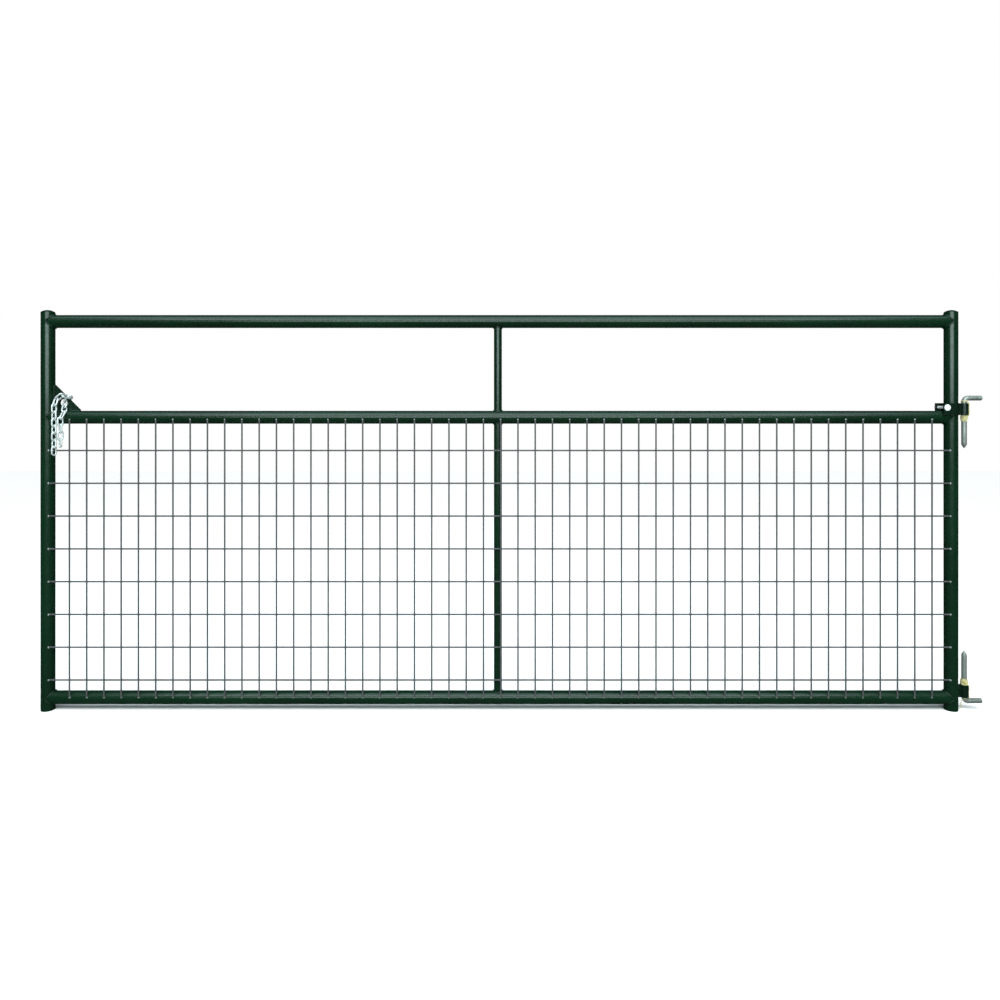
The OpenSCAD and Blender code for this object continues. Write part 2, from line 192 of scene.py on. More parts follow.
def makeEnamelGroup():
    # baked enamel: slow colour drift, dust on what faces up, rub marks and orange peel
    group, given, result = newGroup("enamelCoat", [
        ("Paint", "NodeSocketColor", (0.01, 0.05, 0.02, 1)),
        ("Deep Paint", "NodeSocketColor", (0.005, 0.03, 0.012, 1)),
        ("Dust", "NodeSocketColor", (0.2, 0.2, 0.17, 1)),
        ("Dust Amount", "NodeSocketFloat", 0.1),
        ("Rub Amount", "NodeSocketFloat", 0.1),
        ("Gloss Roughness", "NodeSocketFloat", 0.2),
        ("Peel Scale", "NodeSocketFloat", 420.0),
    ], [("Color", "NodeSocketColor"), ("Roughness", "NodeSocketFloat"), ("Height", "NodeSocketFloat")])
    place = addNode(group, "ShaderNodeTexCoord").outputs["Object"]
    facing = addNode(group, "ShaderNodeNewGeometry").outputs["Normal"]
    up = addNode(group, "ShaderNodeSeparateXYZ", None, {0: facing}).outputs["Z"]
    drift = noiseMask(group, place, 2.3, 0.35, 0.68)
    mottle = noiseMask(group, place, 38.0, 0.3, 0.75)
    paint = mixColours(group, drift, given.outputs["Paint"], given.outputs["Deep Paint"])
    paint = mixColours(group, mathNode(group, "MULTIPLY", mottle, 0.25), paint, given.outputs["Deep Paint"])
    upper = addNode(group, "ShaderNodeMapRange", {"clamp": True},
                    {"Value": up, "From Min": 0.2, "From Max": 1.0}).outputs[0]
    settled = mathNode(group, "MULTIPLY", upper, noiseMask(group, place, 21.0, 0.25, 0.8, 8.0))
    dusty = mathNode(group, "MULTIPLY", settled, given.outputs["Dust Amount"])
    paint = mixColours(group, dusty, paint, given.outputs["Dust"])
    rubbed = noiseMask(group, place, 64.0, 0.66, 0.74, 9.0)
    worn = mathNode(group, "MULTIPLY", rubbed, given.outputs["Rub Amount"])
    paint = mixColours(group, worn, paint, given.outputs["Dust"])
    group.links.new(paint, result.inputs["Color"])
    rough = mathNode(group, "ADD", given.outputs["Gloss Roughness"],
                     mathNode(group, "MULTIPLY", mottle, 0.08))
    rough = mathNode(group, "ADD", rough, mathNode(group, "MULTIPLY", dusty, 0.9))
    rough = mathNode(group, "ADD", rough, mathNode(group, "MULTIPLY", worn, 0.5))
    group.links.new(rough, result.inputs["Roughness"])
    peel = addNode(group, "ShaderNodeTexNoise", None,
                   {"Vector": place, "Scale": given.outputs["Peel Scale"], "Detail": 1.0})
    group.links.new(peel.outputs["Fac"], result.inputs["Height"])
    return group


def makeZincGroup():
    # zinc coat: spangle cells, white bloom and fine draw marks
    group, given, result = newGroup("zincCoat", [
        ("Bright", "NodeSocketColor", (0.7, 0.72, 0.72, 1)),
        ("Dull", "NodeSocketColor", (0.4, 0.42, 0.42, 1)),
        ("Grime", "NodeSocketColor", (0.08, 0.075, 0.06, 1)),
        ("Grime Amount", "NodeSocketFloat", 0.2),
        ("Spangle Scale", "NodeSocketFloat", 500.0),
        ("Base Roughness", "NodeSocketFloat", 0.3),
    ], [("Color", "NodeSocketColor"), ("Roughness", "NodeSocketFloat"), ("Height", "NodeSocketFloat")])
    place = addNode(group, "ShaderNodeTexCoord").outputs["Object"]
    cells = addNode(group, "ShaderNodeTexVoronoi", None,
                    {"Vector": place, "Scale": given.outputs["Spangle Scale"]})
    cellTone = addNode(group, "ShaderNodeSeparateColor", None, {0: cells.outputs["Color"]}).outputs[0]
    bloom = noiseMask(group, place, 90.0, 0.4, 0.72, 6.0)
    tone = mixColours(group, mathNode(group, "MULTIPLY", cellTone, 0.35),
                      given.outputs["Bright"], given.outputs["Dull"])
    tone = mixColours(group, mathNode(group, "MULTIPLY", bloom, 0.6), tone, given.outputs["Dull"])
    stain = mathNode(group, "MULTIPLY", noiseMask(group, place, 34.0, 0.5, 0.8, 8.0),
                     given.outputs["Grime Amount"])
    tone = mixColours(group, stain, tone, given.outputs["Grime"])
    group.links.new(tone, result.inputs["Color"])
    rough = mathNode(group, "ADD", given.outputs["Base Roughness"],
                     mathNode(group, "MULTIPLY", bloom, 0.15))
    rough = mathNode(group, "ADD", rough, mathNode(group, "MULTIPLY", cellTone, 0.08))
    rough = mathNode(group, "ADD", rough, mathNode(group, "MULTIPLY", stain, 0.4))
    group.links.new(rough, result.inputs["Roughness"])
    fine = addNode(group, "ShaderNodeTexNoise", None, {"Vector": place, "Scale": 1400.0, "Detail": 2.0})
    group.links.new(mathNode(group, "ADD", fine.outputs["Fac"], mathNode(group, "MULTIPLY", cellTone, 0.4)),
                    result.inputs["Height"])
    return group


def makeMaterial(name, group, inputs, shader, bump):
    # one group of surface detail feeding a Principled shader; constants go on the shader
    material = bpy.data.materials.new(name)
    material.use_nodes = True
    tree = material.node_tree
    principled = tree.nodes["Principled BSDF"]
    detail = addNode(tree, "ShaderNodeGroup", {"node_tree": group}, inputs)
    tree.links.new(detail.outputs["Color"], principled.inputs["Base Color"])
    tree.links.new(detail.outputs["Roughness"], principled.inputs["Roughness"])
    relief = addNode(tree, "ShaderNodeBump", None, {
        "Height": detail.outputs["Height"], "Strength": bump[0], "Distance": bump[1]})
    tree.links.new(relief.outputs["Normal"], principled.inputs["Normal"])
    for key, value in shader.items():
        principled.inputs[key].default_value = value
    return material


enamelCoat = makeEnamelGroup()
zincCoat = makeZincGroup()

finish = {
    "paint": (0.0016, 0.0150, 0.0058, 1),
    "deepPaint": (0.0007, 0.0090, 0.0032, 1),
    "dust": (0.035, 0.055, 0.04, 1),
    "paintRoughness": 0.22,
    "brightZinc": (0.86, 0.90, 0.89, 1),
    "dullZinc": (0.60, 0.66, 0.65, 1),
    "wireBright": (0.075, 0.075, 0.08, 1),
    "wireDull": (0.035, 0.036, 0.04, 1),
    # end-weld nibs: lighter than the wire, partly the weld's own metal and partly a painted highlight
    "nibBrightWithPaintedGlint": (0.30, 0.33, 0.32, 1),
    "nibDullWithPaintedGlint": (0.16, 0.18, 0.17, 1),
    "pinBright": (0.42, 0.45, 0.42, 1),
    "pinDull": (0.24, 0.26, 0.24, 1),
    "threadBright": (0.3, 0.33, 0.3, 1),
    "threadDull": (0.13, 0.15, 0.13, 1),
    "grime": (0.045, 0.045, 0.035, 1),
    "strand": (0.34, 0.27, 0.08, 1),
    "paleStrand": (0.62, 0.57, 0.33, 1),
}


def enamel(name, dust, rub, deeper=1.0, roughness=0.0, bump=(0.05, 0.0004)):
    return makeMaterial(name, enamelCoat, {
        "Paint": tuple(c * deeper for c in finish["paint"][:3]) + (1,),
        "Deep Paint": tuple(c * deeper for c in finish["deepPaint"][:3]) + (1,),
        "Dust": finish["dust"],
        "Dust Amount": dust,
        "Rub Amount": rub,
        "Gloss Roughness": finish["paintRoughness"] + roughness,
    }, {"Coat Weight": 0.1, "Coat Roughness": 0.12, "IOR": 1.45}, bump)


def zinc(name, bright, dull, grime, roughness, scale=500.0, metal=1.0, bump=(0.12, 0.0002)):
    return makeMaterial(name, zincCoat, {
        "Bright": finish[bright],
        "Dull": finish[dull],
        "Grime": finish["grime"],
        "Grime Amount": grime,
        "Spangle Scale": scale,
        "Base Roughness": roughness,
    }, {"Metallic": metal}, bump)


tubeEnamel = enamel("tubeEnamel", 0.10, 0.04)
capEnamel = enamel("capEnamel", 0.14, 0.05, deeper=0.9)
gussetEnamel = enamel("gussetEnamel", 0.08, 0.22, deeper=0.8, roughness=0.05)
strapEnamel = enamel("strapEnamel", 0.10, 0.28, deeper=0.6, roughness=0.06)
weldEnamel = enamel("weldEnamel", 0.12, 0.12, deeper=0.9, roughness=0.02, bump=(0.2, 0.0005))
wireZinc = zinc("wireZinc", "wireBright", "wireDull", 0.25, 0.45, 350.0, metal=0.3)
# the end welds' lighter zinc tone is partly a painted highlight
nibZincWithPaintedGlint = zinc("nibZincWithPaintedGlint", "nibBrightWithPaintedGlint", "nibDullWithPaintedGlint", 0.25, 0.4, metal=0.6)
chainZinc = zinc("chainZinc", "brightZinc", "dullZinc", 0.22, 0.36, 420.0, metal=0.75)
boltZinc = zinc("boltZinc", "brightZinc", "dullZinc", 0.08, 0.34, metal=0.4)
pinZinc = zinc("pinZinc", "pinBright", "pinDull", 0.4, 0.42, 300.0, metal=0.8)
threadZinc = zinc("threadZinc", "threadBright", "threadDull", 0.55, 0.42, 300.0, metal=0.75)
print("materials for paint and zinc made")


def makeStrandMaterial():
    # twisted tie strand: fibre streaks along it, paler where it is stretched
    material = bpy.data.materials.new("tieStrand")
    material.use_nodes = True
    tree = material.node_tree
    principled = tree.nodes["Principled BSDF"]
    place = addNode(tree, "ShaderNodeTexCoord").outputs["Object"]
    stretch = noiseMask(tree, place, 140.0, 0.35, 0.7, 6.0)
    tree.links.new(mixColours(tree, stretch, finish["strand"], finish["paleStrand"]),
                   principled.inputs["Base Color"])
    fibre = addNode(tree, "ShaderNodeTexNoise", None, {"Vector": place, "Scale": 2600.0, "Detail": 2.0})
    relief = addNode(tree, "ShaderNodeBump", None,
                     {"Height": fibre.outputs["Fac"], "Strength": 0.5, "Distance": 0.0002})
    tree.links.new(relief.outputs["Normal"], principled.inputs["Normal"])
    rough = addNode(tree, "ShaderNodeMapRange", None,
                    {"Value": fibre.outputs["Fac"], "To Min": 0.45, "To Max": 0.75})
    tree.links.new(rough.outputs[0], principled.inputs["Roughness"])
    principled.inputs["Subsurface Weight"].default_value = 0.08
    return material


tieStrand = makeStrandMaterial()


def paintNode(name, material):
    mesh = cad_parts[name].data
    mesh.materials.clear()
    mesh.materials.append(material)


for name in ("latch_post", "hinge_post", "top_rail", "middle_rail", "bottom_rail",
             "upper_brace", "lower_brace"):
    paintNode(name, tubeEnamel)
for name in ("latch_post_cap", "hinge_post_cap"):
    paintNode(name, capEnamel)
paintNode("chain_gusset", gussetEnamel)
for name in ("upper_hinge_strap", "lower_hinge_eye"):
    paintNode(name, strapEnamel)
for name in ("vertical_wires", "horizontal_wires"):
    paintNode(name, wireZinc)
chainLinks = [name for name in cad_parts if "_link" in name]
for name in chainLinks:
    paintNode(name, chainZinc)


def middleOf(name):
    low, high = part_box(name)
    return (low + high) / 2


def halfOf(name):
    low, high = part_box(name)
    return (high - low) / 2


xWay, yWay, zWay = Vector((1, 0, 0)), Vector((0, 1, 0)), Vector((0, 0, 1))
tubeRadius = halfOf("latch_post").x
postPlaces = [middleOf("latch_post").x, middleOf("hinge_post").x]
railPlaces = [middleOf(name).z for name in ("top_rail", "middle_rail", "bottom_rail")]


weld = {
    "bead": 0.0026,        # radius of a bead in the corner of two tubes
    "ripple": 0.0019,      # distance between two ripples of a bead
    "rippleDepth": 0.13,   # share of the radius
    "rippleTwist": 0.8,    # how far a ripple leans round the bead
    "sway": 0.07,          # slow change of the radius along a bead
    "swayRate": 310,
    "swayShift": 5e3,
    "startShare": 0.35,    # radius at the end of an open bead
    "startPoints": 6,
    "plateBead": 0.0021,
    "eyeBead": 0.0024,
    "leafMiddle": 0.0055,  # how far the lower eye's leaf joint lies from the middle
    "leafStand": 0.001,    # how far its bead lies outside that joint
    "leafLift": 0.0003,
    "railStand": 0.0012,   # how far a rail's bead lies off the post
    "railSpread": 1.03,    # its reach, as a share of the rail's radius
    "braceStand": 0.001,
    "braceSpread": 1.05,
    "plateLift": 0.0004,   # how far the gusset's beads lie in from its edges
    "plateStart": 0.002,
    "runEnd": 0.001,       # how far a straight bead stops short of the plate's end
    "plateStand": 0.45,    # from the plate's face to a bead's middle, as a share of its radius
    "roundPoints": 120,    # points of a bead that goes round a tube
    "pointStep": 0.0007,   # distance between a bead's rings
    "sides": 8,
}


def rippled(base, points, closedRun=False):
    # a bead's radius rises and falls as the welder's hand moved
    def radius(i, turn):
        run = i * weld["pointStep"]
        wave = math.sin(2 * math.pi * run / weld["ripple"] + weld["rippleTwist"] * math.cos(turn))
        ends = 1.0
        if not closedRun:
            ends = min(1.0, weld["startShare"] + min(i, points - 1 - i) / weld["startPoints"])
        slow = weld["sway"] * math.sin(run * weld["swayRate"] + base * weld["swayShift"])
        return base * ends * (1 + weld["rippleDepth"] * wave + slow)
    return radius


def addBead(shell, path, base, lean, closed=False):
    path = evenPath(path, weld["pointStep"])
    if closed:
        path = path[:-1]
    sweepTube(shell, path, rippled(base, len(path), closed), weld["sides"], lean, closed)


def tubeWelds():
    shell = bmesh.new()
    turns = [2 * math.pi * k / weld["roundPoints"] for k in range(weld["roundPoints"] + 1)]
    for postX, side in zip(postPlaces, (1, -1)):
        for railZ in railPlaces:
            path = []
            for turn in turns:
                y = tubeRadius * math.cos(turn)
                z = tubeRadius * math.sin(turn)
                reach = math.sqrt(max(tubeRadius ** 2 - y ** 2, 0.0))
                x = postX + side * (reach + weld["railStand"] + weld["railStand"] * abs(math.cos(turn)))
                path.append(Vector((x, y * weld["railSpread"], railZ + z * weld["railSpread"])))
            addBead(shell, path, weld["bead"], xWay, closed=True)
    for name, lower, upper in (("upper_brace", railPlaces[1], railPlaces[0]),
                               ("lower_brace", railPlaces[2], railPlaces[1])):
        middle, radius = middleOf(name), halfOf(name).x
        for railZ, side in ((lower, 1), (upper, -1)):
            path = []
            for turn in turns:
                y = middle.y + radius * math.sin(turn)
                reach = math.sqrt(max(tubeRadius ** 2 - y ** 2, 0.0))
                path.append(Vector((middle.x + radius * weld["braceSpread"] * math.cos(turn),
                                    middle.y + radius * weld["braceSpread"] * math.sin(turn),
                                    railZ + side * (reach + weld["braceStand"]))))
            addBead(shell, path, weld["plateBead"], zWay, closed=True)
    return finishPiece("tubeWelds", shell, weldEnamel, "gate")


def plateWelds():
    # both faces of the gusset, down the post and along the rail
    shell = bmesh.new()
    low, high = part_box("chain_gusset")
    lift, start, end = weld["plateLift"], weld["plateStart"], weld["runEnd"]
    for face in (low.y, high.y):
        out = math.copysign(weld["plateBead"] * weld["plateStand"], face)
        addBead(shell, [Vector((low.x + lift, face + out, low.z + start)),
                        Vector((low.x + lift, face + out, high.z - end))], weld["plateBead"], xWay)
        addBead(shell, [Vector((low.x + start, face + out, low.z + lift)),
                        Vector((high.x - end, face + out, low.z + lift))], weld["plateBead"], zWay)
    # the lower eye's two leaves, down the hinge post
    low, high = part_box("lower_hinge_eye")
    leaf = weld["leafMiddle"]
    x = postPlaces[1] + math.sqrt(tubeRadius ** 2 - leaf ** 2)
    for side in (-1, 1):
        y = side * (leaf + weld["leafStand"])
        addBead(shell, [Vector((x + weld["leafLift"], y, low.z + end)),
                        Vector((x + weld["leafLift"], y, high.z - end))],
                weld["eyeBead"], xWay)
    return finishPiece("plateWelds", shell, weldEnamel, "gate")


tubeWelds()
plateWelds()
print("weld beads on the tubes, the gusset and the lower eye made")


filling = {
    "verticals": 51,
    "horizontals": 8,
    "nib": (0.0031, 0.0036, 0.0014),     # half width, half height and height of an end weld
    "nibReach": 0.0115,      # from a post's centre line to the welds of the horizontal wires
    "nibUneven": 0.16,       # share by which the end welds' sizes differ
    "sideNibUneven": 0.14,
    "nibDrift": 0.0006,
    "nibSink": 0.0004,       # how far a weld is set into what it holds
    "crossing": (0.0027, 0.0027, 0.0009),
    "crossingUneven": 0.12,
}


def fillingWelds():
    vLow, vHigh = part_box("vertical_wires")
    hLow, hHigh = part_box("horizontal_wires")
    wireRadius = (hHigh.y - hLow.y) / 2
    vPlaces = np.linspace(vLow.x + wireRadius, vHigh.x - wireRadius, filling["verticals"])
    hPlaces = np.linspace(hLow.z + wireRadius, hHigh.z - wireRadius, filling["horizontals"])
    vDepth, hDepth = (vLow.y + vHigh.y) / 2, (hLow.y + hHigh.y) / 2
    nibs, crossings = bmesh.new(), bmesh.new()
    for i, x in enumerate(vPlaces):
        for z, side in ((vLow.z, -1), (vHigh.z, 1)):
            drift = wobble(i, side)
            size = [s * (1 + filling["nibUneven"] * wobble(i, side, k))
                    for k, s in enumerate(filling["nib"])]
            centre = Vector((x + filling["nibDrift"] * drift, vDepth - filling["nibSink"],
                             z + side * filling["nibSink"]))
            addNugget(nibs, centre, xWay, zWay, -yWay, size)
        for k, z in enumerate(hPlaces):
            size = [s * (1 + filling["crossingUneven"] * wobble(i, k, n))
                    for n, s in enumerate(filling["crossing"])]
            centre = Vector((x, (vDepth + hDepth) / 2, z))
            for out in (-1, 1):
                addNugget(crossings, centre, xWay, zWay, yWay * out, size, rows=2, sides=8)
    for k, z in enumerate(hPlaces):
        for postX, side in zip(postPlaces, (1, -1)):
            reach = filling["nibReach"]
            front = math.sqrt(tubeRadius ** 2 - reach ** 2) - filling["nibSink"]
            size = [s * (1 + filling["sideNibUneven"] * wobble(k, side, n))
                    for n, s in enumerate(filling["nib"])]
            centre = Vector((postX + side * reach, -front, z))
            out = Vector((side * reach, -front, 0)).normalized()
            addNugget(nibs, centre, out.cross(zWay), zWay, out, size)
    # the end welds get the lighter nib finish, part of which is painted highlight
    finishPiece("wireEndWelds", nibs, nibZincWithPaintedGlint, "gate")
    finishPiece("wireCrossingWelds", crossings, wireZinc, "gate")


fillingWelds()
print("wire welds made")


hingeBolt = {
    "bend": 0.0125,          # centre-line radius of the bend
    "chamfer": 0.0015,
    "point": 0.012,          # length of the pin's pointed tip
    "tip": 0.002,
    "pitch": 0.0023,         # thread pitch, 11 turns to the inch
    "threadDepth": 0.0012,
    "threadEnd": 0.0165,     # where the thread stops short of the bend
    "threadFade": 0.003,     # length over which it runs out
    "threadSteps": 9,        # rings to one turn of the thread
    "undercut": 0.93,        # radius where the thread ends, as a share
    "undercutSteps": 4,
    "bendSteps": 16,
    "pinSteps": 12,
    "pointSteps": 8,
    "tipRound": 0.45,        # how far the tip's edge is rounded in
    "tipPower": 6,
    "sides": 40,
}


def threadWave(run, turn, pitch):
    # 0 at a crest and 1 at a root
    share = (run / pitch + turn / (2 * math.pi)) % 1.0
    return 1 - abs(2 * share - 1)


def bentBolt(name, node, legZ, down):
    low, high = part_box(node)
    radius = high.y
    bend = hingeBolt["bend"]
    points, reaches = [], []
    step = hingeBolt["pitch"] / hingeBolt["threadSteps"]
    x = high.x
    while x > hingeBolt["threadEnd"]:
        points.append(Vector((x, 0, legZ)))
        start = radius - hingeBolt["chamfer"] + (high.x - x)
        reaches.append((min(radius, start), (high.x - x), True))
        x -= step
    undercut = hingeBolt["undercut"]
    for k in range(hingeBolt["undercutSteps"] + 1):
        share = k / hingeBolt["undercutSteps"]
        points.append(Vector((hingeBolt["threadEnd"] * (1 - share) + bend * share - 1e-5, 0, legZ)))
        reaches.append((radius * (undercut + (1 - undercut) * share), 0, False))
    for k in range(1, hingeBolt["bendSteps"] + 1):
        turn = math.pi / 2 * k / hingeBolt["bendSteps"]
        points.append(Vector((bend * (1 - math.sin(turn)), 0, legZ + down * bend * (1 - math.cos(turn)))))
        reaches.append((radius, 0, False))
    tipZ = low.z if down < 0 else high.z
    pointZ = tipZ - down * hingeBolt["point"]
    pinSteps = hingeBolt["pinSteps"]
    for k in range(1, pinSteps + 1):
        points.append(Vector((0, 0, legZ + down * bend + (pointZ - legZ - down * bend) * k / pinSteps)))
        reaches.append((radius, 0, False))
    for k in range(1, hingeBolt["pointSteps"] + 1):
        share = k / hingeBolt["pointSteps"]
        points.append(Vector((0, 0, pointZ + (tipZ - pointZ) * share)))
        cone = radius + (hingeBolt["tip"] - radius) * share
        reaches.append((cone * (1 - hingeBolt["tipRound"] * share ** hingeBolt["tipPower"]), 0, False))

    def reach(i, turn):
        base, run, threaded = reaches[i]
        if not threaded:
            return base
        fade = min(1.0, (points[i].x - hingeBolt["threadEnd"]) / hingeBolt["threadFade"])
        return base - hingeBolt["threadDepth"] * fade * threadWave(run, turn, hingeBolt["pitch"])

    shell = bmesh.new()
    sweepTube(shell, points, reach, hingeBolt["sides"], yWay)
    piece = finishPiece(name, shell, pinZinc, "hinge_bolts")
    piece.data.materials.append(threadZinc)
    for face in piece.data.polygons:
        if face.center.x > hingeBolt["threadEnd"]:
            face.material_index = 1
    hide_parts(node)
    return piece


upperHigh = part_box("upper_hinge_bolt")[1]
lowerLow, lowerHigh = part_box("lower_hinge_bolt")
upperLegZ = upperHigh.z - upperHigh.y
lowerLegZ = lowerLow.z + lowerHigh.y
bentBolt("upperHingeBolt", "upper_hinge_bolt", upperLegZ, -1)
bentBolt("lowerHingeBolt", "lower_hinge_bolt", lowerLegZ, 1)
print("threaded hinge bolts made")


pinTie = {
    "strand": 0.00078,       # radius of one strand
    "lay": 1.12,             # distance between turns, in strand diameters
    "loopStrand": 0.00095,
    "standOff": 0.0012,      # from the eye's surface to a loop's centre line
    "pointStep": 0.0012,
    "pinGap": 0.0001,        # between the pin and the first layer
    "layerRise": 1.7,        # from the first layer to the second, in strand radii
    "layerLay": 1.3,         # spacing of the second layer's turns, as a share of the first's
    "upperBare": 0.005,      # length of the first layer that the second leaves bare
    "lowerBare": 0.006,
    "turnSteps": 20,         # points to one turn
    "sides": 8,
    "lean": Vector((0.6, 0.75, 0.28)).normalized(),   # a way that no loop runs along
}


def roundPin(angle, radius, z):
    turn = math.radians(angle)
    return Vector((radius * math.cos(turn), -radius * math.sin(turn), z))


def windingPath(low, high, radius, lay):
    turns = (high - low) / lay
    steps = int(turns * pinTie["turnSteps"])
    path = []
    for k in range(steps + 1):
        share = k / steps
        angle = 360 * turns * share
        uneven = 0.0002 * math.sin(share * 41) + 0.00012 * math.sin(share * 97)
        path.append(roundPin(angle, radius + abs(uneven), low + (high - low) * share + uneven))
    return path


def addLoop(shell, knots):
    # a loose strand through the knots
    path = evenPath(smoothPath(knots, 10), pinTie["pointStep"])
    sweepTube(shell, path, pinTie["loopStrand"], pinTie["sides"], pinTie["lean"])


def addWinding(shell, low, high, layer):
    # the strand wound round a pin; layer 1 lies on layer 0 with its turns further apart
    radius = upperHigh.y + pinTie["strand"] + pinTie["pinGap"]
    lay = 2 * pinTie["strand"] * pinTie["lay"]
    if layer:
        radius += pinTie["layerRise"] * pinTie["strand"]
        lay *= pinTie["layerLay"]
    sweepTube(shell, windingPath(low, high, radius, lay), pinTie["strand"], pinTie["sides"], zWay)


def pinTies():
    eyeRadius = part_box("lower_hinge_eye")[1].x + pinTie["standOff"]
    wound = upperHigh.y + pinTie["strand"] + pinTie["pinGap"]

    shell = bmesh.new()
    low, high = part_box("upper_pin_band")
    inset = pinTie["strand"]
    addWinding(shell, low.z + inset, high.z - inset, 0)
    addWinding(shell, low.z + pinTie["upperBare"], high.z - inset, 1)
    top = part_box("upper_hinge_strap")[1].z
    for start, lean in ((-34, 1), (26, -1), (4, 1), (50, 1), (18, -1)):
        knots = [roundPin(start - 40 * lean, wound + 0.001, high.z - 0.004),
                 roundPin(start - 12 * lean, wound + 0.0035, high.z - 0.001),
                 roundPin(start, eyeRadius, high.z + 0.004),
                 roundPin(start - 10 * lean, eyeRadius + 0.0004, (high.z + top) / 2),
                 roundPin(start - 26 * lean, eyeRadius, top - 0.002),
                 roundPin(start - 20 * lean, wound + 0.0032, top + 0.0035),
                 roundPin(start + 40 * lean, wound + 0.0004, top + 0.006),
                 roundPin(start + 105 * lean, wound, top + 0.0075),
                 roundPin(start + 180 * lean, wound, top + 0.0065),
                 roundPin(start + 255 * lean, wound, top + 0.0045)]
        addLoop(shell, knots)
    upper = finishPiece("upperPinTie", shell, tieStrand, "hinge_bolts")
    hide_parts("upper_pin_band")

    shell = bmesh.new()
    low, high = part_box("lower_pin_band")
    addWinding(shell, low.z + inset, high.z - inset, 0)
    addWinding(shell, low.z + inset, high.z - pinTie["lowerBare"], 1)
    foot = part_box("lower_hinge_eye")[0].z
    for start, end in ((38, -30), (-36, 24)):
        knots = [roundPin(start + 50, wound + 0.0006, low.z + 0.006),
                 roundPin(start + 18, wound + 0.0032, low.z + 0.0015),
                 roundPin(start, eyeRadius, low.z - 0.004),
                 roundPin((start + end) / 2, eyeRadius + 0.0005, (low.z + foot) / 2),
                 roundPin(end, eyeRadius, foot + 0.003),
                 roundPin(end - 8, eyeRadius - 0.0006, foot - 0.0035),
                 roundPin(end - 14, wound + 0.0034, foot - 0.0075)]
        addLoop(shell, knots)
    # the free end that hangs below the bend
    knots = [roundPin(20, wound, lowerLegZ + 0.0105),
             roundPin(95, wound, lowerLegZ + 0.0095),
             roundPin(150, wound + 0.0002, lowerLegZ + 0.006),
             roundPin(176, wound + 0.0006, lowerLegZ - 0.001),
             roundPin(184, wound + 0.0016, lowerLegZ - 0.009),
             roundPin(178, wound + 0.0008, lowerLegZ - 0.0165),
             roundPin(184, wound + 0.0002, lowerLegZ - 0.0225)]
    addLoop(shell, knots)
    lower = finishPiece("lowerPinTie", shell, tieStrand, "hinge_bolts")
    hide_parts("lower_pin_band")


pinTies()
print("ties round the hinge pins made")


clamp = {
    "pitch": 0.0016,
    "threadDepth": 0.0008,
    "neckRound": 1.16,       # corner reach of the square neck, as a share of its half width
    "nutChamfer": 0.0011,
    "headRim": 0.0009,
    "shank": 0.00475,        # radius of the shank
    "neck": 0.0048,          # half the side of the square neck
    "neckLength": 0.0045,
    "threadLead": 0.012,     # where the thread starts, ahead of the nut
    "threadFade": 0.002,     # length over which it runs in
    "threadSteps": 7,        # rings to one turn of the thread
    "headSteps": 12,
    "headEdge": 0.0002,      # height of the head's upright edge
    "seatShare": 0.985,      # radius of the head's flat underside, as a share
    "seatGap": 0.00001,
    "neckBlend": 0.0003,     # length from the square neck to the round shank
    "endShare": 0.8,         # radius of the bolt's end, as a share
    "endLength": 0.001,
    "sides": 48,
}


